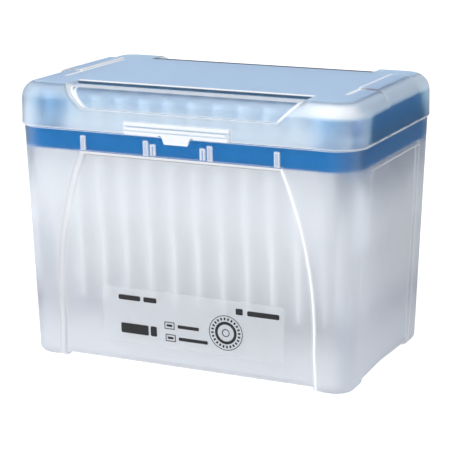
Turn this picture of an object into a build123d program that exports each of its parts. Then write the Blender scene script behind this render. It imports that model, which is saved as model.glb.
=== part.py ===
from build123d import *
import os
from math import radians, tan

# ---------------------------------------------------------------------------
# Box of pipette tips: a drafted tub, a hinged lid, a perforated tray standing
# inside the tub and a full rack of tips hanging in the tray.
# Millimetres. Z is up, X runs along the box, the front faces -Y.
# The origin is the centre of the tub's footprint, on the surface it stands on.
# ---------------------------------------------------------------------------

# Tip grid
pitch = 9.0                 # spacing of the tips both ways
columns = 12                # tips along X
rows = 8                    # tips along Y

# One tip
tip_length = 71.5
collar_height = 10.5        # part that stands above the tray
collar_gap = 0.7            # between the collars of neighbours
collar_step = 0.75          # collar over the neck just under it
mouth_wall = 0.55           # round the straight seat that takes the pipette
mouth_depth = 6.0
mouth_step = 0.5            # from that seat in to the long tapered bore
mouth_chamfer = 0.3
nozzle_radius = 0.8         # outside of the lower end
orifice_radius = 0.4

# Tub
grid_margin_length = 11.0   # footprint beyond the grid of tips, along X
grid_margin_width = 1.2     # the same along Y
foot_corner = 7.0
foot_rounding = 2.4         # edge under the corner columns
draft = 2.06                # degrees, every outside wall of the tub
shoulder_height = 82.0      # ledge that the lid comes down to
neck_height = 3.6           # rim that stands up inside the lid
neck_wall = 1.1
ledge_drop = 7.4            # from the shoulder down to the inner ledge that carries the tray
floor_thickness = 1.8
foot_lift = 1.3             # lower edges of the panels above the table
standing_inset = 6.1        # standing rim under the floor, in from the footprint along Y
stacking_gap = 0.3          # standing rim to the side rims of the lid below
standing_width = 2.7
underside_hollow = 0.8      # flat hollow inside the standing rim

# Arched panels sunk into the front and back of the tub
arch_crown_inset = 24.1     # end of the crown in from the end of the footprint, and so on
arch_haunch_inset = 16.6
arch_spring_inset = 13.6
arch_foot_inset = 12.9
arch_crown_drop = 8.6       # from the shoulder down to the crown
arch_haunch_share = 0.61    # height of the haunch as a share of the shoulder's
arch_spring_height = 14.0
arch_crown_depth = 1.7
arch_foot_depth = 1.9
step_slope = 1.2            # outward run of a panel's edge for each unit of its depth
inner_step = 0.8            # the same for the wall's inside round a panel

# Side panels, two flats that meet in a shallow crease
side_inset = 13.1           # end of a side panel in from the footprint
side_depth = 1.1
side_slope = 0.5            # outward run of the panel's ends for each unit of depth
inner_side = 0.6            # the same for the wall's inside
side_crease = 0.9

# Small ribs and catch on the band above the arch
band_rib_width = 1.6
band_rib_relief = 0.4
band_rib_gap = 2.0          # from the lid's edge down to the rib
band_rib_inner = 11.7       # distance of the inner pair from the middle
mark_root = 0.3             # how far ribs and hooks reach into the wall
hook_offset = 9.1
hook_drop = 1.0             # below the tops of the ribs
hook_width = 1.7
hook_height = 3.6
hook_line = 0.5
hook_relief = 0.35

# Lid
lid_wall = 1.2
lid_clearance = 0.4         # lid to neck, all round
lid_overhang = 0.4          # lid stands this far proud of the tub
lid_lift = 0.3              # running gap between the lid's edge and the shoulder
lid_corner = 9.4
lid_rounding = 5.8
lid_draft = 1.0             # degrees
lid_headroom = 1.1          # over the tips, under the stacking notches
notch_depth = 1.2           # stacking notches across the front and back edges
notch_top_inset = 16.0      # ends of a notch in from the ends of the footprint
notch_low_inset = 24.0
notch_drop = 7.4            # from the lid's top down to a notch's lower edge
notch_back_inset = 8.1      # riser in from the front of the footprint
rim_height = 0.7            # raised side rims on the top
rim_inset = 7.5             # inner edge of a rim in from the end of the footprint
rim_front = -10.0
rim_back = 21.0

# Clasp on the lid's front edge
clasp_half = 19.6
clasp_end_slope = 1.0
clasp_reach = 3.0           # how far its sloped ends are drawn out
clasp_steps = (             # height above the lid's edge, and how far it stands out there
    (0.0, 0.9),
    (1.1, 0.9),
    (1.1, 0.45),
    (1.7, 0.45),
    (1.7, 1.5),
    (2.6, 1.5),
    (2.9, 0.7),
    (4.1, 0.6),
)
tongue_top_half = 5.5
tongue_low_half = 4.2
tongue_drop = 2.4
tongue_thickness = 0.9
relief_width = 0.8

# Hinge at the back
knuckle_gap = 0.7           # knuckle behind the shoulder
hinge_rise = 0.6            # axis above the shoulder
hinge_share = 0.6           # distance between the two knuckles, of the box's length
pin_radius = 1.5
pin_clearance = 0.05
knuckle_radius = 2.9
knuckle_width = 8.0
snap_mouth = 2.3
ear_radius = 2.8
ear_thickness = 2.2
ear_gap = 0.4               # ear to knuckle
ear_foot = 4.0              # height of the ear's root on the wall
ear_drop = 4.7              # from the axis down to the top of that root
arm_height = 4.4            # height of the knuckle's root on the lid

# Tray
tray_clearance = 0.35       # skirt to the tub's throat
tray_wall = 1.4
deck_thickness = 1.6
hole_clearance = 0.2
tray_corner = 7.0
rib_thickness = 0.9
rib_depth = 5.0
deck_rise = 1.0             # deck above the shoulder
end_wall_inset = 8.6        # end of an end wall in from the footprint
end_wall_corner = 6.0
end_wall_headroom = 1.8     # over an end wall, under the lid

# Label
label_length = 68.0
label_height = 20.0
label_shift = 2.4
label_middle = 17.8
label_thickness = 0.12
label_corner = 0.8

# Making
overlap = 1.0               # how far pieces reach into each other, and cutters past a face
cut_reach = 6.0             # how far a panel's cutter runs out past the panel
root_depth = 0.2            # thin strip inside a wall that an ear or an arm grows from

# ---------------------------------------------------------------------------
# Sizes that follow from the ones above
# ---------------------------------------------------------------------------
foot_length = columns * pitch + grid_margin_length
foot_width = rows * pitch + grid_margin_width
run = tan(radians(draft))                       # outward run of a wall for each unit of height
shoulder_length = foot_length + 2 * shoulder_height * run
shoulder_width = foot_width + 2 * shoulder_height * run
lid_length = shoulder_length + 2 * lid_overhang
lid_width = shoulder_width + 2 * lid_overhang
lid_edge = shoulder_height + lid_lift
deck_top = shoulder_height + deck_rise
lid_top = deck_top + collar_height + lid_headroom + lid_wall + notch_depth
neck_inset = lid_wall + lid_clearance - lid_overhang
neck_length = shoulder_length - 2 * neck_inset
neck_width = shoulder_width - 2 * neck_inset
throat_length = neck_length - 2 * neck_wall
throat_width = neck_width - 2 * neck_wall
shoulder_corner = lid_corner - lid_overhang
throat_corner = shoulder_corner - neck_inset - neck_wall
ledge_height = shoulder_height - ledge_drop
tub_wall = neck_inset + neck_wall - (shoulder_height - ledge_height) * run
arch_crown_half = foot_length / 2 - arch_crown_inset
arch_haunch_half = foot_length / 2 - arch_haunch_inset
arch_spring_half = foot_length / 2 - arch_spring_inset
arch_foot_half = foot_length / 2 - arch_foot_inset
arch_crown_height = shoulder_height - arch_crown_drop
arch_haunch_height = shoulder_height * arch_haunch_share
side_half = foot_width / 2 - side_inset
standing_half = foot_width / 2 - standing_inset
notch_top_half = foot_length / 2 - notch_top_inset
notch_low_half = foot_length / 2 - notch_low_inset
notch_low_height = lid_top - notch_drop
notch_back = foot_width / 2 - notch_back_inset
rim_inner = foot_length / 2 - rim_inset
end_wall_half = foot_width / 2 - end_wall_inset
end_wall_top = lid_top - lid_wall - end_wall_headroom
collar_radius = (pitch - collar_gap) / 2
neck_radius = collar_radius - collar_step
mouth_radius = collar_radius - mouth_wall
bore_radius = mouth_radius - mouth_step
nozzle_height = deck_top + collar_height - tip_length
hinge_spacing = foot_length * hinge_share
hinge_y = shoulder_width / 2 + knuckle_radius + knuckle_gap
hinge_z = shoulder_height + hinge_rise


def half_width(z):
    """Distance of the tub's front or back wall from the middle at a height."""
    return foot_width / 2 + z * run


def half_length(z):
    """Distance of the tub's side wall from the middle at a height."""
    return foot_length / 2 + z * run


# The front panel lies on a plane that leans more than the wall, so its depth grows downwards
panel_foot = half_width(0) - arch_foot_depth
panel_crown = half_width(arch_crown_height) - arch_crown_depth
panel_lean = (panel_crown - panel_foot) / arch_crown_height


front_wall = Plane(origin=(0, -half_width(0), 0), x_dir=(1, 0, 0), z_dir=(0, -1, -run))


def panel_plane(inset):
    """Plane of the front panel, moved into the tub; its local Y runs up the panel."""
    return Plane(
        origin=(0, -(panel_foot - inset), 0),
        x_dir=(1, 0, 0),
        z_dir=(0, -1, -panel_lean),
    )


def arch_outline(grow):
    """Bell arch: a straight crown, two bowed haunches and nearly upright springings."""
    crown = (arch_crown_half + grow, arch_crown_height + grow)
    haunch = (arch_haunch_half + grow, arch_haunch_height + grow / 2)
    spring = (arch_spring_half + grow, arch_spring_height)
    foot = (arch_foot_half + grow, -grow - overlap)
    with BuildSketch() as outline:
        with BuildLine():
            Line((-crown[0], crown[1]), crown)
            ThreePointArc(crown, haunch, spring)
            Line(spring, foot)
            Line(foot, (-foot[0], foot[1]))
            Line((-foot[0], foot[1]), (-spring[0], spring[1]))
            ThreePointArc((-spring[0], spring[1]), (-haunch[0], haunch[1]), (-crown[0], crown[1]))
        make_face()
    return outline.sketch


os.makedirs("parts", exist_ok=True)

# ---------------------------------------------------------------------------
# Cutters for the sunk panels of the tub
# ---------------------------------------------------------------------------
with BuildPart() as arch_cut:
    with BuildSketch(panel_plane(0)):
        add(arch_outline(0))
    with BuildSketch(panel_plane(0).offset(cut_reach)):
        add(arch_outline(cut_reach * step_slope))
    loft()

with BuildPart() as arch_wall:
    with BuildSketch(panel_plane(tub_wall)):
        add(arch_outline(tub_wall * inner_step))
    extrude(amount=cut_reach)


def side_outline(z, inset):
    """Plan of a side panel at a height: two flats with sloping ends, out past the wall."""
    flat = half_length(z) - side_depth - inset
    reach = cut_reach + inset
    half = side_half + inner_side * inset
    with BuildSketch(Plane.XY.offset(z)) as plan:
        with BuildLine():
            Polyline(
                (flat, -half),
                (flat - side_crease, 0),
                (flat, half),
                (flat + reach, half + reach * side_slope),
                (flat + reach, -half - reach * side_slope),
                close=True,
            )
        make_face()
    return plan.sketch


def side_block(top, inset):
    """Solid over a side panel, from below the table up to a height."""
    with BuildPart() as block:
        add(side_outline(-overlap, inset))
        add(side_outline(top, inset))
        loft()
    return block.part


side_cut = side_block(arch_crown_height, 0)
side_wall = side_block(ledge_height, tub_wall)

# ---------------------------------------------------------------------------
# Tub
# ---------------------------------------------------------------------------
with BuildPart() as tub_inside:
    with BuildSketch(Plane.XY.offset(ledge_height)):
        RectangleRounded(throat_length, throat_width, throat_corner)
    extrude(amount=-(ledge_height - floor_thickness - underside_hollow), taper=draft)
    add(arch_wall.part, mode=Mode.SUBTRACT)
    add(arch_wall.part.rotate(Axis.Z, 180), mode=Mode.SUBTRACT)
    add(side_wall, mode=Mode.SUBTRACT)
    add(side_wall.rotate(Axis.Z, 180), mode=Mode.SUBTRACT)
    with BuildSketch(Plane.XY.offset(ledge_height)):
        RectangleRounded(throat_length, throat_width, throat_corner)
    extrude(amount=shoulder_height + neck_height - ledge_height)

with BuildPart() as band_marks:
    # four short ribs on the band, two of them over the ends of the arch's crown
    rib_low = arch_crown_height + step_slope * arch_crown_depth
    rib_high = lid_edge - band_rib_gap
    rib_middle = (rib_low + rib_high) / 2
    with BuildSketch(front_wall.offset(-mark_root)):
        for across in (arch_crown_half, band_rib_inner):
            with Locations((-across, rib_middle), (across, rib_middle)):
                Rectangle(band_rib_width, rib_high - rib_low)
    extrude(amount=mark_root + band_rib_relief)
    # two catch hooks, each an upside-down U
    hook_middle = rib_high - hook_drop - hook_height / 2
    with BuildSketch(front_wall.offset(-mark_root)):
        with Locations((-hook_offset, hook_middle), (hook_offset, hook_middle)):
            Rectangle(hook_width, hook_height)
        with Locations((-hook_offset, hook_middle - hook_line), (hook_offset, hook_middle - hook_line)):
            Rectangle(hook_width - 2 * hook_line, hook_height, mode=Mode.SUBTRACT)
    extrude(amount=mark_root + hook_relief)

with BuildPart() as base:
    with BuildSketch(Plane.XY):
        RectangleRounded(foot_length, foot_width, foot_corner)
    extrude(amount=shoulder_height, taper=-draft)
    fillet(base.faces().sort_by(Axis.Z)[0].edges(), foot_rounding)
    with BuildSketch(Plane.XY.offset(shoulder_height)):
        RectangleRounded(neck_length, neck_width, shoulder_corner - neck_inset)
    extrude(amount=neck_height)
    add(tub_inside.part, mode=Mode.SUBTRACT)
    add(arch_cut.part, mode=Mode.SUBTRACT)
    add(arch_cut.part.rotate(Axis.Z, 180), mode=Mode.SUBTRACT)
    add(side_cut, mode=Mode.SUBTRACT)
    add(side_cut.rotate(Axis.Z, 180), mode=Mode.SUBTRACT)
    # raised lower edges between the corner feet, and a hollow inside the standing rim
    standing_length = 2 * (rim_inner - stacking_gap)
    with BuildSketch(Plane.XY):
        Rectangle(2 * arch_foot_half, foot_width + 2 * overlap)
        Rectangle(foot_length + 2 * overlap, 2 * side_half)
        RectangleRounded(standing_length, 2 * standing_half, foot_corner, mode=Mode.SUBTRACT)
    extrude(amount=foot_lift, mode=Mode.SUBTRACT)
    with BuildSketch(Plane.XY):
        RectangleRounded(
            standing_length - 2 * standing_width,
            2 * (standing_half - standing_width),
            foot_corner - standing_width,
        )
    extrude(amount=underside_hollow, mode=Mode.SUBTRACT)
    add(band_marks.part)
    # hinge ears on the back, a pair for each knuckle, with a pin between them
    root_y = shoulder_width / 2 - tub_wall / 2
    root_top = hinge_z - ear_drop
    for middle in (-hinge_spacing / 2, hinge_spacing / 2):
        for side in (-1, 1):
            ear_middle = middle + side * (knuckle_width / 2 + ear_gap + ear_thickness / 2)
            with BuildSketch(Plane.YZ.offset(ear_middle)):
                with Locations((hinge_y, hinge_z)):
                    Circle(ear_radius)
                with Locations((root_y, root_top - ear_foot / 2)):
                    Rectangle(root_depth, ear_foot)
                make_hull()
            extrude(amount=ear_thickness / 2, both=True)
        with BuildSketch(Plane.YZ.offset(middle)):
            with Locations((hinge_y, hinge_z)):
                Circle(pin_radius)
        extrude(amount=knuckle_width / 2 + ear_gap + ear_thickness / 2, both=True)

base.part.label = "base"
export_step(base.part, "parts/base.step")

# ---------------------------------------------------------------------------
# Lid
# ---------------------------------------------------------------------------


def cap(inset, top):
    """Drafted block with rounded top edges: the lid's outside form, moved in by an amount."""
    with BuildPart() as form:
        with BuildSketch(Plane.XY.offset(lid_edge)):
            RectangleRounded(lid_length - 2 * inset, lid_width - 2 * inset, lid_corner - inset)
        extrude(amount=top - inset - lid_edge, taper=lid_draft)
        fillet(form.faces().sort_by(Axis.Z)[-1].edges(), lid_rounding - inset)
    return form.part


def notch_space(grow):
    """Space over both stacking notches: a trapezoid carried back to the riser, and its mirror."""
    slope = (notch_top_half - notch_low_half) / (lid_top - notch_low_height)
    low = notch_low_height - grow
    high = lid_top + 2 * rim_height
    low_half = notch_low_half + grow
    high_half = low_half + slope * (high - low)
    with BuildPart() as space:
        with BuildSketch(Plane.XZ.offset(notch_back - grow)):
            Polygon((-low_half, low), (low_half, low), (high_half, high), (-high_half, high), align=None)
        extrude(amount=lid_width)
        mirror(about=Plane.XZ)
    return space.part


def notched(inset):
    """The lid's form moved in by an amount, with both stacking notches sunk into it."""
    with BuildPart() as floor:
        add(cap(inset + notch_depth, lid_top))
        add(notch_space(inset), mode=Mode.INTERSECT)
    with BuildPart() as form:
        add(cap(inset, lid_top))
        add(notch_space(inset), mode=Mode.SUBTRACT)
        add(floor.part)
    return form.part


with BuildPart() as side_rims:
    add(cap(0, lid_top + rim_height))
    with BuildSketch(Plane.XY.offset(lid_top - lid_rounding)):
        for side in (-1, 1):
            with Locations((side * (rim_inner + lid_length / 4), (rim_front + rim_back) / 2)):
                Rectangle(lid_length / 2, rim_back - rim_front)
    extrude(amount=2 * lid_rounding, mode=Mode.INTERSECT)

front_y = -lid_width / 2

with BuildPart() as clasp:
    # stepped bar along the middle of the front edge, ends cut at a slope
    with BuildSketch(Plane.YZ):
        with BuildLine():
            Polyline(
                (front_y + lid_wall / 2, lid_edge),
                *[(front_y - out, lid_edge + up) for up, out in clasp_steps],
                (front_y + lid_wall / 2, lid_edge + clasp_steps[-1][0]),
                close=True,
            )
        make_face()
    extrude(amount=clasp_half, both=True)
    with BuildSketch(Plane.XY.offset(lid_edge - overlap)):
        Polygon(
            (-clasp_half, front_y + lid_wall),
            (clasp_half, front_y + lid_wall),
            (clasp_half, front_y),
            (clasp_half - clasp_reach * clasp_end_slope, front_y - clasp_reach),
            (clasp_reach * clasp_end_slope - clasp_half, front_y - clasp_reach),
            (-clasp_half, front_y),
            align=None,
        )
    extrude(amount=clasp_steps[-1][0] + 2 * overlap, mode=Mode.INTERSECT)
    # tongue that hangs over the tub's front
    with BuildSketch(Plane.XZ.offset(-front_y)):
        Polygon(
            (-tongue_top_half, lid_edge + overlap),
            (-tongue_low_half, lid_edge - tongue_drop),
            (tongue_low_half, lid_edge - tongue_drop),
            (tongue_top_half, lid_edge + overlap),
            align=None,
        )
    extrude(amount=tongue_thickness)

with BuildPart() as lid:
    add(notched(0))
    add(side_rims.part)
    add(notched(lid_wall), mode=Mode.SUBTRACT)
    add(clasp.part)
    # relief cuts beside the tongue
    with BuildSketch(Plane.XZ.offset(-front_y - lid_wall - overlap)):
        relief_at = tongue_top_half + relief_width / 2
        with Locations((-relief_at, lid_edge), (relief_at, lid_edge)):
            Rectangle(relief_width, relief_width)
    extrude(amount=cut_reach, mode=Mode.SUBTRACT)
    # knuckles that snap over the tub's pins
    for middle in (-hinge_spacing / 2, hinge_spacing / 2):
        with BuildSketch(Plane.YZ.offset(middle)):
            with Locations((hinge_y, hinge_z)):
                Circle(knuckle_radius)
            with Locations((lid_width / 2, lid_edge + root_depth + arm_height / 2)):
                Rectangle(2 * root_depth, arm_height)
            make_hull()
        extrude(amount=knuckle_width / 2, both=True)
        with BuildSketch(Plane.YZ.offset(middle)):
            with Locations((hinge_y, hinge_z)):
                Circle(pin_radius + pin_clearance)
            with Locations((hinge_y, hinge_z - knuckle_radius)):
                Rectangle(snap_mouth, 2 * knuckle_radius)
        extrude(amount=knuckle_width / 2, both=True, mode=Mode.SUBTRACT)

lid.part.label = "lid"
export_step(lid.part, "parts/lid.step")

# ---------------------------------------------------------------------------
# Tray
# ---------------------------------------------------------------------------
tray_length = throat_length - 2 * tray_clearance
tray_width = throat_width - 2 * tray_clearance
deck_under = deck_top - deck_thickness

with BuildPart() as tray:
    with BuildSketch(Plane.XY.offset(ledge_height)):
        RectangleRounded(tray_length, tray_width, tray_corner)
    extrude(amount=deck_top - ledge_height)
    with BuildSketch(Plane.XY.offset(ledge_height)):
        RectangleRounded(tray_length - 2 * tray_wall, tray_width - 2 * tray_wall, tray_corner - tray_wall)
    extrude(amount=deck_under - ledge_height, mode=Mode.SUBTRACT)
    # stiffening ribs under the deck, between every second pair of tips
    with BuildSketch(Plane.XY.offset(deck_under - rib_depth)):
        with GridLocations(2 * pitch, 1, columns // 2 - 1, 1):
            Rectangle(rib_thickness, tray_width - tray_wall)
        with GridLocations(1, 2 * pitch, 1, rows // 2 - 1):
            Rectangle(tray_length - tray_wall, rib_thickness)
    extrude(amount=rib_depth)
    # upright end walls, which are also the grips
    for side in (-1, 1):
        with BuildSketch(Plane.YZ.offset(side * (tray_length / 2 - tray_wall))):
            with Locations((0, (deck_under + end_wall_top) / 2)):
                Rectangle(2 * end_wall_half, end_wall_top - deck_under)
            fillet(vertices().group_by(Axis.Y)[-1], end_wall_corner)
        extrude(amount=side * tray_wall)
    with BuildSketch(Plane.XY.offset(deck_under)):
        with GridLocations(pitch, pitch, columns, rows):
            Circle(neck_radius + hole_clearance)
    extrude(amount=deck_thickness, mode=Mode.SUBTRACT)

tray.part.label = "tray"
export_step(tray.part, "parts/tray.step")

# ---------------------------------------------------------------------------
# Tips
# ---------------------------------------------------------------------------
with BuildPart() as tip:
    with BuildSketch(Plane.XZ):
        Polygon(
            (orifice_radius, 0),
            (nozzle_radius, 0),
            (neck_radius, tip_length - collar_height),
            (collar_radius, tip_length - collar_height),
            (collar_radius, tip_length),
            (mouth_radius + mouth_chamfer, tip_length),
            (mouth_radius, tip_length - mouth_chamfer),
            (mouth_radius, tip_length - mouth_depth),
            (bore_radius, tip_length - mouth_depth),
            align=None,
        )
    revolve(axis=Axis.Z)

row_places = [(row - (rows - 1) / 2) * pitch for row in range(rows)]

for column in range(columns):
    x = (column - (columns - 1) / 2) * pitch
    with BuildPart() as tips_column:
        with Locations(*[(x, row_y, nozzle_height) for row_y in row_places]):
            add(tip.part)
    name = f"tips_column_{column + 1:02d}"
    tips_column.part.label = name
    export_step(tips_column.part, f"parts/{name}.step")

# ---------------------------------------------------------------------------
# Label on the front panel
# ---------------------------------------------------------------------------
with BuildPart() as label:
    with BuildSketch(panel_plane(0)):
        with Locations((label_shift, label_middle)):
            RectangleRounded(label_length, label_height, label_corner)
    extrude(amount=label_thickness)

label.part.label = "label"
export_step(label.part, "parts/label.step")
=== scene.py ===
import math

import bpy
import numpy as np
from mathutils import Matrix, Vector


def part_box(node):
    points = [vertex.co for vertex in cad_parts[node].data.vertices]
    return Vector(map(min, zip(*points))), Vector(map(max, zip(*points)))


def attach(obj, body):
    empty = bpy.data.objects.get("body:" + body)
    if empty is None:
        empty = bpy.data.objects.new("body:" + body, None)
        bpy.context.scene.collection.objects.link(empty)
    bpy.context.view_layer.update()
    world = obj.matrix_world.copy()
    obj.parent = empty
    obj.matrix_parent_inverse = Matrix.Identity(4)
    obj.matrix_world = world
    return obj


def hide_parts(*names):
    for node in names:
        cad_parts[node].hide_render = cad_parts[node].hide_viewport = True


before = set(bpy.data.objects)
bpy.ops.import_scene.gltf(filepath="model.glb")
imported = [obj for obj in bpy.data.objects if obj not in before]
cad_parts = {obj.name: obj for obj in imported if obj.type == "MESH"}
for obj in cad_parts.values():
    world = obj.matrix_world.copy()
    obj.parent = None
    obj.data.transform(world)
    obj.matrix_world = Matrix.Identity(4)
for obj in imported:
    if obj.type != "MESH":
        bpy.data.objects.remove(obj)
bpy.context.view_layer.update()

# %% [markdown]
# The frame holds every moulded piece of the tip box, already in place, in metres: the clear base and lid,
# the blue tray, twelve columns of tips and the label film. Everything below dresses those pieces or adds
# small ones, and nothing added later may grow their size.

# %% Millimetres
MM = 0.001

# %% [markdown]
# The view comes before any looks, because how milky a clear wall seems depends on what stands behind it.
# A long lens from about half a metre keeps the box's sides nearly straight, as in a catalogue view.
# The camera is set from the point it looks at, two angles and a distance, which is easier to adjust
# than a place and a turn.

# %% The camera's direction
LENS_MM, SENSOR_MM, NEAREST = 130.34, 36.0, 10 * MM
TARGET = Vector((-1.33, 0.0, 43.67)) * MM
DISTANCE = 576.8 * MM
AZIMUTH, ELEVATION, ROLL = (math.radians(a) for a in (24.96, 14.10, -0.37))


def camera_turn(azimuth, elevation, roll):
    """Right, up and back directions of a camera that looks at a point from azimuth round Z and elevation
    above, rolled about its own line of sight."""
    back = Vector((
        math.sin(azimuth) * math.cos(elevation),
        -math.cos(azimuth) * math.cos(elevation),
        math.sin(elevation),
    ))
    right = Vector((0, 0, 1)).cross(back).normalized()
    up = back.cross(right)
    rolled_right = right * math.cos(roll) + up * math.sin(roll)
    rolled_up = up * math.cos(roll) - right * math.sin(roll)
    return rolled_right, rolled_up, back


# %% The camera
right, up, back = camera_turn(AZIMUTH, ELEVATION, ROLL)
turn = Matrix((right, up, back)).transposed().to_4x4()
camera = bpy.data.objects.new("camera", bpy.data.cameras.new("camera"))
camera.data.lens = LENS_MM
camera.data.sensor_width = SENSOR_MM
camera.data.clip_start = NEAREST
camera.matrix_world = Matrix.Translation(TARGET + back * DISTANCE) @ turn
bpy.context.scene.collection.objects.link(camera)
bpy.context.scene.camera = camera
print("camera stands at, mm:", [round(v / MM, 1) for v in camera.location])

# %% [markdown]
# Every finish below is a tree of nodes. Blender can make each node in three or four lines, but a tree of
# thirty is then hard to read. Two small helpers make a node with its settings in one call, and link two.

# %% Small helpers for node trees
def node(tree, kind, at=(0, 0), **settings):
    """A new node of that kind, with its attributes or its sockets' values set by name."""
    made = tree.nodes.new(kind)
    made.location = at
    for name, value in settings.items():
        if hasattr(made, name):
            setattr(made, name, value)
        else:
            made.inputs[name.replace("_", " ")].default_value = value
    return made


def join(tree, source, target):
    """Links an output socket to an input socket."""
    tree.links.new(source, target)


def bare_tree(owner):
    """The empty node tree of a new material or world."""
    owner.use_nodes = True
    owner.node_tree.nodes.clear()
    return owner.node_tree


# %% [markdown]
# A clear box shows its surroundings more than itself, so the studio is plain and pale on every side:
# a white floor that keeps a soft shadow, and a white world. Rays that go straight to the eye, or reach it
# through the plastic or as a reflection, see that white at full strength. Rays that light the object get
# less, so that the blue stays as deep as it is written.

# %% A white that is brighter to look at than to be lit by
def white_for_looking(tree, low, high):
    """A number that is high for camera, glossy and transmission rays, and low for rays that were scattered
    on the way, because those are the ones that light things."""
    path = node(tree, "ShaderNodeLightPath", (-900, 200))
    first = node(tree, "ShaderNodeMath", (-720, 200), operation="MAXIMUM")
    second = node(tree, "ShaderNodeMath", (-560, 200), operation="MAXIMUM")
    straight = node(tree, "ShaderNodeMath", (-400, 200), operation="SUBTRACT", use_clamp=True)
    level = node(tree, "ShaderNodeMapRange", (-240, 200), To_Min=low, To_Max=high)
    join(tree, path.outputs["Is Camera Ray"], first.inputs[0])
    join(tree, path.outputs["Is Glossy Ray"], first.inputs[1])
    join(tree, path.outputs["Is Transmission Ray"], second.inputs[0])
    join(tree, first.outputs[0], second.inputs[1])
    join(tree, second.outputs[0], straight.inputs[0])
    join(tree, path.outputs["Is Diffuse Ray"], straight.inputs[1])
    join(tree, straight.outputs[0], level.inputs["Value"])
    return level.outputs["Result"]


# %% The world
WHITE = (1.0, 1.0, 1.0, 1.0)
WORLD_LIGHT = 0.72
world = bpy.data.worlds.new("studio")
bpy.context.scene.world = world
tree = bare_tree(world)
sky = node(tree, "ShaderNodeBackground", (0, 0), Color=WHITE)
sky_out = node(tree, "ShaderNodeOutputWorld", (220, 0))
join(tree, white_for_looking(tree, WORLD_LIGHT, 1.0), sky.inputs["Strength"])
join(tree, sky.outputs[0], sky_out.inputs["Surface"])
print("world lights at", WORLD_LIGHT, "and looks white")

# %% The floor
REACH = 6.0
UNDER_FEET = 0.1 * MM
FLOOR_GREY = (0.86, 0.86, 0.87, 1.0)
FLOOR_GLOW = 0.5
paper = bpy.data.materials.new("white_floor")
tree = bare_tree(paper)
card = node(tree, "ShaderNodeBsdfDiffuse", (0, 120), Color=FLOOR_GREY)
glow = node(tree, "ShaderNodeEmission", (0, -60), Color=WHITE)
both = node(tree, "ShaderNodeAddShader", (220, 60))
floor_out = node(tree, "ShaderNodeOutputMaterial", (400, 60))
join(tree, white_for_looking(tree, 0.0, FLOOR_GLOW), glow.inputs["Strength"])
join(tree, card.outputs[0], both.inputs[0])
join(tree, glow.outputs[0], both.inputs[1])
join(tree, both.outputs[0], floor_out.inputs["Surface"])

floor_mesh = bpy.data.meshes.new("floor")
floor_corners = [(REACH * a, REACH * b, 0) for a, b in ((-1, -1), (1, -1), (1, 1), (-1, 1))]
floor_mesh.from_pydata(floor_corners, [], [(0, 1, 2, 3)])
floor_mesh.materials.append(paper)
floor = bpy.data.objects.new("floor", floor_mesh)
floor.location.z = -UNDER_FEET
bpy.context.scene.collection.objects.link(floor)
print("floor, m across:", 2 * REACH)

# %% [markdown]
# Two soft lamps light the box as on a small product table: a large key at the left front and above, and a
# weak fill at the right. A lamp's light falls off with distance, so its power is worked out from the level
# wanted on the box.

# %% The lamps
def soft_lamp(name, place, size, level):
    """A square area lamp at place, aimed at the box. A white card at the box then renders at that level:
    power = level pi^2 distance^2, for a lamp small beside its distance."""
    lamp = bpy.data.objects.new(name, bpy.data.lights.new(name, "AREA"))
    aim = Vector(place) - TARGET
    lamp.data.shape = "SQUARE"
    lamp.data.size = size
    lamp.data.energy = level * math.pi**2 * aim.length_squared
    lamp.location = Vector(place)
    lamp.rotation_mode = "QUATERNION"
    lamp.rotation_quaternion = aim.to_track_quat("Z", "Y")
    bpy.context.scene.collection.objects.link(lamp)
    print(name, "power", round(lamp.data.energy, 2), "W")


soft_lamp("key_lamp", (-0.65, -0.85, 0.80), 0.7, 0.50)
soft_lamp("fill_lamp", (0.95, -0.35, 0.55), 0.6, 0.05)

# %% [markdown]
# Clear moulded plastic isn't the same all over. Edges go white where they were stressed, and that white on edges
# and steps is partly painted highlight for the light they catch; thick places look milky and thin ones clear.
# Painted images would do this on a flat part, but here the pattern follows the part's own places and directions. So
# each effect gets a mask: a number that is 1 where the effect is and
# 0 elsewhere, worked out from a point's place in millimetres.

# %% Arithmetic for masks
def maths(tree, kind, *terms):
    """A Math node of that kind. A term is a number or an output socket."""
    made = node(tree, "ShaderNodeMath", operation=kind)
    for slot, term in zip(made.inputs, terms):
        if isinstance(term, (int, float)):
            slot.default_value = term
        else:
            join(tree, term, slot)
    return made.outputs[0]


def every(tree, *masks):
    """1 only where all the masks are 1: their product."""
    held = masks[0]
    for mask in masks[1:]:
        held = maths(tree, "MULTIPLY", held, mask)
    return held


def most_of(tree, *masks):
    """The highest of several masks."""
    held = masks[0]
    for mask in masks[1:]:
        held = maths(tree, "MAXIMUM", held, mask)
    return held


def share(tree, mask, low, high):
    """A number that goes from low where the mask is 0 to high where it is 1."""
    return maths(tree, "MULTIPLY_ADD", mask, high - low, low)


# %% Soft steps
def ramp(tree, value, start, end):
    """A smooth rise from 0 to 1 as value goes from start to end, or a fall where end is the lower."""
    made = node(tree, "ShaderNodeMapRange", interpolation_type="SMOOTHSTEP", From_Min=start, From_Max=end)
    join(tree, value, made.inputs["Value"])
    return made.outputs["Result"]


def between(tree, value, low, high, fade):
    """1 while value is between low and high, with a soft fade at both ends."""
    rise = ramp(tree, value, low - fade, low + fade)
    return every(tree, rise, ramp(tree, value, high + fade, high - fade))


# %% Where a point is, and which way it faces
def place_of(tree):
    """X, Y and Z of a point on the piece, in millimetres."""
    parts = node(tree, "ShaderNodeSeparateXYZ")
    join(tree, node(tree, "ShaderNodeTexCoord").outputs["Object"], parts.inputs[0])
    return [maths(tree, "DIVIDE", axis, MM) for axis in parts.outputs]


def facing(tree):
    """How far the surface faces along X, Y and Z, from -1 to 1."""
    parts = node(tree, "ShaderNodeSeparateXYZ")
    join(tree, node(tree, "ShaderNodeTexCoord").outputs["Normal"], parts.inputs[0])
    return parts.outputs


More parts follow.
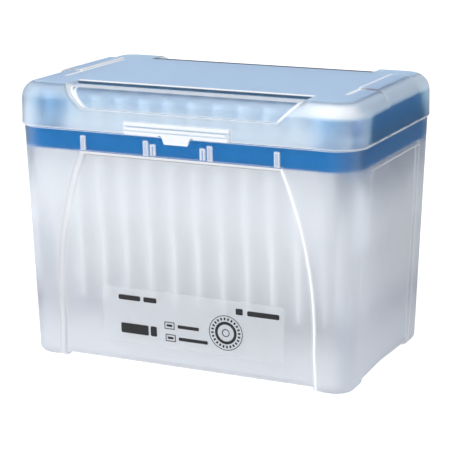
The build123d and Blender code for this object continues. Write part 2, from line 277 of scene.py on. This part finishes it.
FLAT, SHARP = 0.985, 0.86


def sharp_edges(tree, radius):
    """1 along sharp edges and 0 on flats. The normal is rounded over that radius in millimetres, and its dot
    product with the flat normal falls from FLAT to SHARP."""
    soft = node(tree, "ShaderNodeBevel", samples=4, Radius=radius * MM)
    flat = node(tree, "ShaderNodeNewGeometry")
    both = node(tree, "ShaderNodeVectorMath", operation="DOT_PRODUCT")
    join(tree, soft.outputs[0], both.inputs[0])
    join(tree, flat.outputs["Normal"], both.inputs[1])
    return ramp(tree, both.outputs["Value"], FLAT, SHARP)


# %% [markdown]
# The base and lid are natural polypropylene, moulded with a fine satin face. Light bends on through such a
# wall and is scattered a little, so what touches the wall shows in full colour and what stands away from it
# blurs. One glass shader with more roughness would blur both, so two shaders share the work: rough
# refraction everywhere, and haze only where a ray leaves the wall's far face. The walls have their real
# thickness, so the bend is right too.
#
# Lamps can't find their way through two bent surfaces. For rays on their way to a lamp the wall is simply
# see-through, dimmed a little.

# %% The satin of the plastic
CHALK = (0.97, 0.98, 1.0)


def satin(tree, roughness, grain_scale):
    """Sockets for a roughness that wanders slowly over the surface, and for a fine moulded grain."""
    place = node(tree, "ShaderNodeTexCoord", (-1200, 0)).outputs["Object"]
    waves = node(tree, "ShaderNodeTexNoise", (-900, 120), Scale=60.0, Detail=3.0)
    level = node(tree, "ShaderNodeMapRange", (-650, 120), From_Min=0.3, From_Max=0.7,
                 To_Min=roughness - 0.03, To_Max=roughness + 0.03)
    grain = node(tree, "ShaderNodeTexNoise", (-900, -220), Scale=grain_scale, Detail=2.0)
    bump = node(tree, "ShaderNodeBump", (-420, -220), Strength=0.25, Distance=0.02 * MM)
    join(tree, place, waves.inputs["Vector"])
    join(tree, place, grain.inputs["Vector"])
    join(tree, waves.outputs[0], level.inputs["Value"])
    join(tree, grain.outputs[0], bump.inputs["Height"])
    return level.outputs[0], bump.outputs[0]


# %% The clear plastic
def see_through(name, colour, roughness, haze, milk, shade, gloss, grain_scale, bend=1.4):
    """Satin clear plastic. Light bends on through it, blurred by its roughness; a share of haze is sent on in
    every direction where it leaves the wall's far face; a share of milk is sent back like chalk."""
    made = bpy.data.materials.new(name)
    tree = bare_tree(made)
    rough, bump = satin(tree, roughness, grain_scale)
    tint = (*colour, 1.0)
    clear = node(tree, "ShaderNodeBsdfRefraction", (-180, 220), Color=tint, IOR=bend)
    cloud = node(tree, "ShaderNodeBsdfTranslucent", (-180, 60), Color=tint)
    chalk = node(tree, "ShaderNodeBsdfDiffuse", (-180, -60), Color=(*CHALK, 1.0))
    shine = node(tree, "ShaderNodeBsdfGlossy", (-180, -180), Roughness=roughness * 0.6)
    lamps = node(tree, "ShaderNodeBsdfTransparent", (-180, -360), Color=(shade, shade, shade, 1.0))
    side = node(tree, "ShaderNodeNewGeometry", (-420, 300))
    mirror = node(tree, "ShaderNodeFresnel", (-420, 420), IOR=bend)
    path = node(tree, "ShaderNodeLightPath", (200, 420))
    inside = node(tree, "ShaderNodeMath", (-180, 380), operation="MULTIPLY")
    hazy = node(tree, "ShaderNodeMixShader", (40, 220))
    milky = node(tree, "ShaderNodeMixShader", (220, 160))
    glossy = node(tree, "ShaderNodeMixShader", (400, 100))
    pick = node(tree, "ShaderNodeMixShader", (580, 60))
    out = node(tree, "ShaderNodeOutputMaterial", (760, 60))
    clear.name, cloud.name, chalk.name = "clear", "cloud", "chalk"
    milky.name, inside.name = "milky", "inside"
    join(tree, rough, clear.inputs["Roughness"])
    for shader in (clear, cloud, chalk, shine):
        join(tree, bump, shader.inputs["Normal"])
    inside.inputs[1].default_value = haze
    milky.inputs[0].default_value = milk
    join(tree, side.outputs["Backfacing"], inside.inputs[0])
    join(tree, inside.outputs[0], hazy.inputs[0])
    join(tree, maths(tree, "MULTIPLY", mirror.outputs[0], gloss), glossy.inputs[0])
    join(tree, path.outputs["Is Shadow Ray"], pick.inputs[0])
    for mix, first, second in (
        (hazy, clear, cloud), (milky, hazy, chalk), (glossy, milky, shine), (pick, glossy, lamps),
    ):
        join(tree, first.outputs[0], mix.inputs[1])
        join(tree, second.outputs[0], mix.inputs[2])
    join(tree, pick.outputs[0], out.inputs["Surface"])
    return made


# %% [markdown]
# Two things change from place to place in the plastic: how much of it is chalky, and the tint of what shows
# through it. Part of the chalk is painted highlight and part of the tint is painted shade. Both are layers of masks
# over a plain start, so each place can be adjusted alone.

# %% Chalk, tints and painted shade
def layers(tree, first, *coats):
    """One colour with others over it: each coat is a mask and the colour that shows where the mask is 1."""
    below = node(tree, "ShaderNodeMix", data_type="RGBA")
    below.inputs[6].default_value = (*first, 1.0)
    below.inputs[7].default_value = (*first, 1.0)
    for mask, colour in coats:
        coat = node(tree, "ShaderNodeMix", data_type="RGBA")
        coat.inputs[7].default_value = (*colour, 1.0)
        join(tree, mask, coat.inputs[0])
        join(tree, below.outputs[2], coat.inputs[6])
        below = coat
    return below.outputs[2]


def whiten(material, edges, veil, veil_colour, *coats, bare=0.0, most=0.95):
    """Chalk in the plastic: white and nearly full where edges is 1, as along a stressed edge, where the white is
    partly painted highlight, and elsewhere a thin veil of its own colour. There is none where bare is 1."""
    tree = material.node_tree
    amount = node(tree, "ShaderNodeMapRange", To_Max=most)
    join(tree, edges, amount.inputs["Value"])
    join(tree, veil, amount.inputs["To Min"])
    kept = maths(tree, "SUBTRACT", 1.0, bare)
    join(tree, every(tree, amount.outputs[0], kept), tree.nodes["milky"].inputs[0])
    tone = layers(tree, veil_colour, *coats, (ramp(tree, edges, 0.0, 0.4), CHALK))
    join(tree, tone, tree.nodes["chalk"].inputs["Color"])


def tint_and_shade(material, *tint_coats):
    """What shows through takes a tint's colour where that tint's mask is 1; some tints are painted shade. Later
    tints go on top.
    """
    tree = material.node_tree
    plain = tuple(tree.nodes["clear"].inputs["Color"].default_value)[:3]
    tinted_colour = layers(tree, plain, *tint_coats)
    for shader in ("clear", "cloud"):
        join(tree, tinted_colour, tree.nodes[shader].inputs["Color"])


def dress(names, material):
    """Gives every named moulded piece one material."""
    for name in names:
        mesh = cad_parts[name].data
        mesh.materials.clear()
        mesh.materials.append(material)
    print(material.name, "on", len(names), "piece(s), with", len(material.node_tree.nodes), "nodes")


# %% [markdown]
# The tub's front and back walls lean out as they rise, so that the part leaves its mould. The arched panels
# are sunk behind that wall, and ribs and hooks stand out of it. How deep a point lies behind the leaning
# wall tells them apart. The white on the steps and rib tops is partly painted highlight, and the step round a panel
# is fainter on its flank that faces +X, as painted shade on the side turned from the key lamp. Thin white strips
# would do for the steps too, but a mask on the depth follows an arch's curve by itself and adds no pieces.
# Positions along and up the tub are this box's own, in millimetres.

# %% The tub's steps and ribs
DRAFT_RUN = math.tan(math.radians(2.06))
WALL_AT_FOOT = 36.6
PANEL_HALF, ARCH_TOP, RIB_TOP = 49.7, 76.0, 81.25
WALL_MILK = 0.004
clear_tint = (0.975, 0.98, 0.985)
tub_plastic = see_through("clear_plastic_tub", clear_tint, 0.55, 0.6, WALL_MILK, 0.96, 0.07, 900.0)
tree = tub_plastic.node_tree
x, y, z = (maths(tree, "ABSOLUTE", axis) for axis in place_of(tree))
wall = maths(tree, "MULTIPLY_ADD", z, DRAFT_RUN, WALL_AT_FOOT)
depth = maths(tree, "SUBTRACT", wall, y)
off_corners = ramp(tree, x, PANEL_HALF + 0.3, PANEL_HALF - 0.3)
# Painted shade: the step's white is halved on the flank that faces +X, away from the key lamp.
flank_painted_shade = share(tree, ramp(tree, facing(tree)[0], 0.1, 0.4), 1.0, 0.5)
arch_step = every(tree, between(tree, depth, 0.35, 1.2, 0.12), off_corners,
                  ramp(tree, z, ARCH_TOP + 0.2, ARCH_TOP - 0.2), flank_painted_shade)
ribs = every(tree, ramp(tree, depth, -0.05, -0.2), off_corners, ramp(tree, z, RIB_TOP + 0.25, RIB_TOP - 0.25), 0.5)
tub_edges = most_of(tree, sharp_edges(tree, 0.7), arch_step, ribs)

# %% [markdown]
# The wall between the edges is not evenly clear. A pale veil lies over the tips and stops under the band,
# where the tray's blue stands against the plastic. It thins out near the corners, the two ends have one of
# their own, and the foot has another, because the plastic is thick there. Where the veils are, what shows
# through is a little greyer too, and hazier. The greyer, bluer tone on the two ends, darkest low down, is painted
# shade.

# %% The tub's veils
BAND_FOOT = 74.8
below_band = ramp(tree, z, BAND_FOOT + 0.4, BAND_FOOT - 0.4)
on_end = ramp(tree, x, 53.0, 57.0)
off_end = maths(tree, "SUBTRACT", 1.0, on_end)
off_column = share(tree, between(tree, x, 49.0, 58.0, 3.0), 1.0, 0.55)
by_height = share(tree, ramp(tree, z, 46.0, 64.0), 0.26, 0.40)
high_veil = every(tree, ramp(tree, z, 24.0, 60.0), below_band, by_height, off_end, off_column)
end_veil = every(tree, between(tree, z, 26.0, 60.0, 10.0), on_end, 0.42)
foot_veil = every(tree, ramp(tree, z, 24.0, 5.0), 0.45)
tub_veil = most_of(tree, high_veil, end_veil, foot_veil, WALL_MILK)
whiten(tub_plastic, tub_edges, tub_veil, (0.78, 0.81, 0.85))

# %% The tub's tints, painted shade and haze
low_wall = ramp(tree, z, 60.0, 22.0)
high_wall = every(tree, ramp(tree, z, 56.0, 70.0), below_band)
# Painted shade: what shows through the two ends is greyer and bluer, and darker still on their lower part.
end_wall = every(tree, on_end, ramp(tree, y, 38.0, 34.0), below_band)
tint_and_shade(
    tub_plastic,
    (low_wall, (0.95, 0.952, 0.96)),
    (high_wall, (0.955, 0.964, 0.975)),
    (end_wall, (0.95, 0.967, 0.99)),
    (every(tree, end_wall, low_wall), (0.905, 0.92, 0.95)),
)
hazier = share(tree, between(tree, z, 48.0, 75.0, 2.0), 0.60, 0.94)
join(tree, hazier, tree.nodes["inside"].inputs[1])
dress(["base"], tub_plastic)

# %% [markdown]
# The lid is the same plastic with a thinner wall. Two stacking notches are sunk across its top, one at the
# front and one at the back, and each has a riser, a ledge and two sloped ends. Their edges show as bright
# lines, which are painted highlights, and the riser between them, seen end on, as a dark one, which is painted
# shade, darkest in a line along the back notch. Heights are taken down from the top panel, so they follow the lid
# if its height changes.

# %% The lid's notches
RIM_HEIGHT = 0.7
NOTCH_BACK, NOTCH_HALF, NOTCH_FALL = 28.5, 43.0, 1.08
lid_plastic = see_through("clear_plastic_lid", (0.92, 0.96, 1.0), 0.5, 0.45, WALL_MILK, 0.96, 0.07, 900.0)
tree = lid_plastic.node_tree
along, across, height = place_of(tree)
x, y, z = (maths(tree, "ABSOLUTE", axis) for axis in (along, across, height))
below = maths(tree, "SUBTRACT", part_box("lid")[1].z / MM - RIM_HEIGHT, z)
slope_x = maths(tree, "MULTIPLY_ADD", below, NOTCH_FALL, x)
notch_long = ramp(tree, x, NOTCH_HALF + 0.6, NOTCH_HALF)
notch_low = every(tree, between(tree, below, 0.4, 7.2, 0.4), ramp(tree, y, 32.0, 33.0))
# Painted highlights: bright lines on each notch's ledge, along the top panel's edge and on the sloped ends.
ledge = every(tree, between(tree, below, 1.0, 2.0, 0.1),
              between(tree, y, NOTCH_BACK + 0.3, NOTCH_BACK + 6.0, 0.6), notch_long, 0.6)
panel_edge = every(tree, ramp(tree, below, 0.25, 0.1),
                   between(tree, y, NOTCH_BACK - 2.4, NOTCH_BACK + 0.4, 0.3), notch_long)
# Painted shade: the riser is tinted dark and kept free of chalk, and a darker line runs along the back notch.
riser = every(tree, between(tree, below, 0.05, 1.15, 0.05),
              between(tree, y, NOTCH_BACK - 0.3, NOTCH_BACK + 0.4, 0.1), notch_long)
back_line_painted_shade = every(tree, between(tree, across, NOTCH_BACK - 2.3, NOTCH_BACK + 0.2, 0.3), notch_long,
                  ramp(tree, below, 0.5, 0.3))
notch_slope = every(tree, between(tree, slope_x, NOTCH_HALF - 0.4, NOTCH_HALF + 0.6, 0.3), notch_low)
notch_end = every(tree, between(tree, slope_x, NOTCH_HALF - 3.0, NOTCH_HALF + 4.0, 0.5), notch_low)

# %% [markdown]
# The clasp is a bar with three steps in the middle of the lid's front edge. Each step's lip is chalky white, as a
# painted highlight, and the grooves between them are clearer. Two raised rims run along the top, one at each end,
# with a painted highlight along each one's inner edge.

# %% The clasp and the rims
CLASP_FOOT, CLASP_TOP, CLASP_FACE, CLASP_HALF = 82.3, 87.0, 40.3, 22.8
RIM_REACH, RIM_STOP, STOP_HALF = 21.0, 10.0, 1.4
up_clasp = maths(tree, "SUBTRACT", z, CLASP_FOOT)
# Painted highlights on the lips of the clasp's steps.
lip_painted_highlights = most_of(tree, ramp(tree, up_clasp, 1.15, 1.05), between(tree, up_clasp, 1.75, 2.5, 0.08),
               ramp(tree, up_clasp, 2.95, 3.1))
clasp = every(tree, ramp(tree, y, CLASP_FACE - 0.1, CLASP_FACE + 0.1),
              ramp(tree, z, CLASP_TOP + 0.2, CLASP_TOP - 0.2), ramp(tree, x, CLASP_HALF + 0.2, CLASP_HALF - 0.2))
bars = every(tree, clasp, share(tree, lip_painted_highlights, 0.12, 0.72))
# Painted highlight along each rim's inner edge.
rim_edge = every(tree, between(tree, x, 51.2, 52.8, 0.3), ramp(tree, below, 0.3, 0.1),
                 ramp(tree, y, RIM_REACH + 0.5, RIM_REACH - 0.5), 0.6)
rim_stops = most_of(tree, *(between(tree, y, at - STOP_HALF, at + STOP_HALF, 0.3) for at in (RIM_STOP, RIM_REACH)))
rim_ends = every(tree, rim_stops, ramp(tree, x, 54.0, 55.0))

# %% [markdown]
# The lid's rounded top edge catches the light, and the chalk on it is painted highlight, stronger towards the right
# and most of all at the corner on the right.
# The flat top is a pale blue veil. The front is veiled too, more so towards its lower edge, but less at the
# two corners, where the blue of the tray comes through.

# %% The lid's rounding, top and corners
faces_up = facing(tree)[2]
in_notch = every(tree, ramp(tree, slope_x, NOTCH_HALF + 1.0, NOTCH_HALF - 1.0), ramp(tree, y, 30.0, 31.0))
# Painted highlight: chalk on the rounded top edge, stronger towards +X and weaker in the notches.
rounding = every(tree, between(tree, faces_up, 0.12, 0.93, 0.08),
                 share(tree, ramp(tree, along, -40.0, 40.0), 0.14, 0.34), share(tree, in_notch, 1.0, 0.4))
# Painted highlight on the front right corner's rounding.
corner_painted_highlight = every(tree, between(tree, faces_up, 0.2, 0.85, 0.15), ramp(tree, along, 38.0, 54.0),
                      ramp(tree, y, 30.0, 38.0), 0.45)
top_panel = every(tree, ramp(tree, faces_up, 0.93, 0.99), ramp(tree, below, 0.5, 0.3))
low_front = every(tree, ramp(tree, y, 34.0, 37.0), between(tree, z, 80.0, 93.0, 2.5))
left_corner = every(tree, low_front, between(tree, along, -53.5, -42.0, 4.0))
right_corner = every(tree, low_front, between(tree, along, 49.0, 58.5, 4.0))
corners = most_of(tree, left_corner, right_corner)
front_wall = ramp(tree, y, 36.0, 38.0)
front_veil = every(tree, front_wall, ramp(tree, faces_up, 0.3, 0.1),
                   share(tree, ramp(tree, z, 92.5, 83.5), 0.12, 0.42), share(tree, corners, 1.0, 0.5))
end_wall = every(tree, ramp(tree, x, 58.0, 60.0), ramp(tree, y, 33.0, 27.0), between(tree, z, 82.5, 92.5, 2.0))

# %% The lid's chalk, painted highlights, tints and painted shade
quiet = every(tree, share(tree, rim_ends, 1.0, 0.4), share(tree, clasp, 1.0, 0.4), share(tree, notch_end, 1.0, 0.5))
edges = every(tree, sharp_edges(tree, 0.8), quiet)
lid_edges = most_of(tree, edges, ledge, panel_edge, notch_slope, bars, rim_edge, corner_painted_highlight)
lid_veil = most_of(tree, rounding, every(tree, top_panel, 0.55), front_veil, WALL_MILK)
# The risers and the back line carry painted shade, so no chalk goes there.
no_chalk = most_of(tree, every(tree, riser, 0.84), back_line_painted_shade)
whiten(lid_plastic, lid_edges, lid_veil, (0.79, 0.88, 0.95), (top_panel, (0.60, 0.76, 1.0)), bare=no_chalk)
tint_and_shade(
    lid_plastic,
    (top_panel, (0.78, 0.98, 1.0)),
    (every(tree, front_wall, ramp(tree, x, 49.0, 44.0)), (0.90, 0.925, 0.93)),
    (left_corner, (0.60, 0.745, 0.845)),
    (right_corner, (0.69, 0.82, 0.91)),
    (end_wall, (0.84, 0.97, 1.0)),
    # Painted shade: the risers, and darker still the line along the back notch.
    (riser, (0.34, 0.52, 0.64)),
    (back_line_painted_shade, (0.20, 0.30, 0.40)),
)
dress(["lid"], lid_plastic)

# %% [markdown]
# The tray is solid coloured polypropylene. It is opaque enough to read as paint, so one plastic shader does,
# with a soft sheen and a colour that wanders a little, as it does where the melt flowed.

# %% The blue plastic
def solid_plastic(name, colour, roughness, grain_scale, gloss):
    """Opaque moulded plastic: one colour with slow small changes, and a fine satin grain."""
    made = bpy.data.materials.new(name)
    made.use_nodes = True
    tree = made.node_tree
    face = tree.nodes["Principled BSDF"]
    face.inputs["Specular IOR Level"].default_value = gloss
    place = node(tree, "ShaderNodeTexCoord", (-1100, 0)).outputs["Object"]
    flow = node(tree, "ShaderNodeTexNoise", (-850, 200), Scale=40.0, Detail=3.0)
    tint = node(tree, "ShaderNodeMix", (-400, 200), data_type="RGBA")
    tint.inputs[6].default_value = (*[c * 0.94 for c in colour], 1.0)
    tint.inputs[7].default_value = (*[min(1.0, c * 1.06) for c in colour], 1.0)
    sheen = node(tree, "ShaderNodeMapRange", (-400, 0), To_Min=roughness - 0.06, To_Max=roughness + 0.06)
    grain = node(tree, "ShaderNodeTexNoise", (-850, -250), Scale=grain_scale, Detail=2.0)
    bump = node(tree, "ShaderNodeBump", (-400, -250), Strength=0.3, Distance=0.02 * MM)
    join(tree, place, flow.inputs["Vector"])
    join(tree, place, grain.inputs["Vector"])
    join(tree, flow.outputs[0], tint.inputs[0])
    join(tree, flow.outputs[0], sheen.inputs["Value"])
    join(tree, tint.outputs[2], face.inputs["Base Color"])
    join(tree, sheen.outputs[0], face.inputs["Roughness"])
    join(tree, grain.outputs[0], bump.inputs["Height"])
    join(tree, bump.outputs[0], face.inputs["Normal"])
    return made


blue = solid_plastic("blue_plastic", (0.004, 0.13, 0.36), 0.45, 1200.0, 0.1)
dress(["tray"], blue)

# %% [markdown]
# The tips are the same natural polypropylene as the box, but thin and drawn to a point. Packed side by side
# they read as pale rods, so they keep more of a body of their own than the walls do. Their collars, over the
# deck, are bluer than the rest, because they stand in the light that the tray sends back.

# %% The tips
COLLAR_HEIGHT = 10.5
deck_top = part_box("tips_column_01")[1].z / MM - COLLAR_HEIGHT
tip_plastic = see_through("tip_plastic", (0.93, 0.95, 0.97), 0.35, 0.5, 0.6, 0.94, 0.5, 1500.0)
tree = tip_plastic.node_tree
over_deck = ramp(tree, place_of(tree)[2], deck_top - 0.3, deck_top + 0.3)
tip_tint = layers(tree, (0.95, 0.96, 0.97), (over_deck, (0.74, 0.85, 0.95)))
for shader in ("clear", "cloud", "chalk"):
    join(tree, tip_tint, tree.nodes[shader].inputs["Color"])
dress([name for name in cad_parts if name.startswith("tips_column")], tip_plastic)

# %% [markdown]
# The label is a clear film with a little black print. It is drawn again here, a hair off the wall, because
# two faces in the very same place confuse the light that goes through them. Every mark on it is a thin
# prism: a closed outline in the film's own plane, u along the box and v up the panel, pushed out a little.
# An image mapped on the film would do for the print too, but shapes stay sharp at any distance.

# %% The label's plane
PANEL_LEAN = 0.03869
label_low, label_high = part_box("label")
panel_right = np.array([1.0, 0.0, 0.0])
panel_up = np.array(Vector((0.0, -PANEL_LEAN, 1.0)).normalized())
panel_out = np.array(Vector((0.0, -1.0, -PANEL_LEAN)).normalized())
film_foot = label_low.y + PANEL_LEAN * (label_high.z - label_low.z)
film_corner = np.array(Vector((label_low.x, film_foot, label_low.z)))
print("label's corner, mm:", np.round(film_corner / MM, 2))


# %% Flat prisms
def prism(name, outlines, back, front, material, body):
    """A piece made of flat prisms. Each outline is an array of (u, v) in mm, anticlockwise seen from in front;
    point = corner + u right + v up + d out, with d = back and d = front, in mm from the film's face."""
    verts, faces, first = [], [], 0
    for outline in outlines:
        outline = np.asarray(outline, float) * MM
        count = len(outline)
        flat = film_corner + outline[:, :1] * panel_right + outline[:, 1:] * panel_up
        verts += [flat + depth * MM * panel_out for depth in (back, front)]
        ring = np.arange(count)
        after = (ring + 1) % count
        faces += [first + ring[::-1], first + count + ring]
        faces += list(np.stack([ring, after, after + count, ring + count], 1) + first)
        first += 2 * count
    mesh = bpy.data.meshes.new(name)
    mesh.from_pydata(np.concatenate(verts).tolist(), [], [face.tolist() for face in faces])
    mesh.materials.append(material)
    made = bpy.data.objects.new(name, mesh)
    bpy.context.scene.collection.objects.link(made)
    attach(made, body)
    print(name, len(mesh.polygons), "faces")
    return made


def rounded(u0, v0, u1, v1, radius, steps=6):
    """Outline of a rectangle with quarter circles of that radius at its corners."""
    turn = np.linspace(0, np.pi / 2, steps)
    centres = ((u1 - radius, v0 + radius, -np.pi / 2), (u1 - radius, v1 - radius, 0.0),
               (u0 + radius, v1 - radius, np.pi / 2), (u0 + radius, v0 + radius, np.pi))
    return np.concatenate([
        np.stack([u + radius * np.cos(turn + start), v + radius * np.sin(turn + start)], 1)
        for u, v, start in centres
    ])


# %% The film
def thin_film(name, colour, cover):
    """A clear film: it hides a share of what is behind it, a little more in some places than in others, and
    its gloss wanders as a film's does where it was rubbed down."""
    made = bpy.data.materials.new(name)
    made.use_nodes = True
    tree = made.node_tree
    face = tree.nodes["Principled BSDF"]
    face.inputs["Base Color"].default_value = (*colour, 1.0)
    face.inputs["Specular IOR Level"].default_value = 0.2
    place = node(tree, "ShaderNodeTexCoord", (-900, 0)).outputs["Object"]
    rubbed = node(tree, "ShaderNodeTexNoise", (-700, 100), Scale=90.0, Detail=3.0)
    sheen = node(tree, "ShaderNodeMapRange", (-450, 160), To_Min=0.22, To_Max=0.42)
    hide = node(tree, "ShaderNodeMapRange", (-450, -60), From_Min=0.3, From_Max=0.7,
                To_Min=cover - 0.02, To_Max=cover + 0.02)
    join(tree, place, rubbed.inputs["Vector"])
    join(tree, rubbed.outputs[0], sheen.inputs["Value"])
    join(tree, rubbed.outputs[0], hide.inputs["Value"])
    join(tree, sheen.outputs[0], face.inputs["Roughness"])
    join(tree, hide.outputs[0], face.inputs["Alpha"])
    return made


film = thin_film("film", (0.84, 0.88, 0.90), 0.14)
film_piece = prism("label_film", [rounded(0.0, 0.0, 68.0, 20.0, 0.8)], -0.09, 0.0, film, "base")
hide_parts("label")


# %% [markdown]
# The print is plain marks of this box's own: bars where a lab label has its lines, two small boxes, and a
# stamp of rings and ticks. They are matt black ink with a little body.

# %% Rings and boxes
def ring_band(u, v, inner, outer, start, sweep, steps):
    """Outline of a piece of a ring round (u, v), from the angle start on through sweep."""
    turn = np.linspace(start, start + sweep, steps)
    far = np.stack([u + outer * np.cos(turn), v + outer * np.sin(turn)], 1)
    near = np.stack([u + inner * np.cos(turn), v + inner * np.sin(turn)], 1)
    return np.concatenate([far, near[::-1]])


def frame_of(u0, v0, u1, v1, line):
    """Four bars round a small box."""
    round_off = line / 3
    sides = ((u0, v0, u1, v0 + line), (u0, v1 - line, u1, v1),
             (u0, v0 + line, u0 + line, v1 - line), (u1 - line, v0 + line, u1, v1 - line))
    return [rounded(*side, round_off, 3) for side in sides]


# %% The print
STAMP = (46.8, 8.4)
HALVES = (0.0, np.pi)
TICKS, TICK_SWEEP = np.linspace(0, 2 * np.pi, 24, endpoint=False), 0.13
marks = [
    rounded(6.4, 15.6, 14.8, 17.4, 0.5),
    rounded(16.0, 15.6, 21.0, 17.4, 0.5),
    rounded(7.0, 3.6, 17.6, 7.2, 0.5),
    rounded(18.4, 3.6, 20.8, 7.2, 0.5),
    *frame_of(23.8, 7.0, 27.6, 9.6, 0.3),
    rounded(24.6, 7.9, 26.8, 8.7, 0.2),
    rounded(28.8, 7.7, 36.8, 8.9, 0.3),
    *frame_of(24.1, 2.6, 27.9, 5.2, 0.3),
    rounded(24.9, 3.5, 27.1, 4.3, 0.2),
    rounded(29.1, 3.3, 40.0, 4.5, 0.3),
    rounded(50.6, 15.4, 53.2, 17.6, 0.3),
    rounded(54.8, 15.4, 66.4, 17.2, 0.5),
]
for inner, outer, starts, sweep, steps in (
    (5.95, 6.2, HALVES, np.pi, 32), (3.0, 4.0, HALVES, np.pi, 32),
    (4.5, 5.4, TICKS, TICK_SWEEP, 4), (1.1, 1.4, HALVES, np.pi, 16),
):
    marks += [ring_band(*STAMP, inner, outer, start, sweep, steps) for start in starts]
ink = solid_plastic("black_ink", (0.012, 0.012, 0.014), 0.5, 3000.0, 0.3)
prism("label_print", marks, 0.004, 0.02, ink, "base")

# %% [markdown]
# Light crosses many thin walls here before it reaches a tip and comes back, so the renderer is allowed more
# bends and scatterings than usual.

# %% Light paths and colours
scene = bpy.context.scene
scene.view_settings.view_transform = "Standard"
scene.cycles.max_bounces = 24
scene.cycles.diffuse_bounces = 10
scene.cycles.transmission_bounces = 24
scene.cycles.transparent_max_bounces = 16
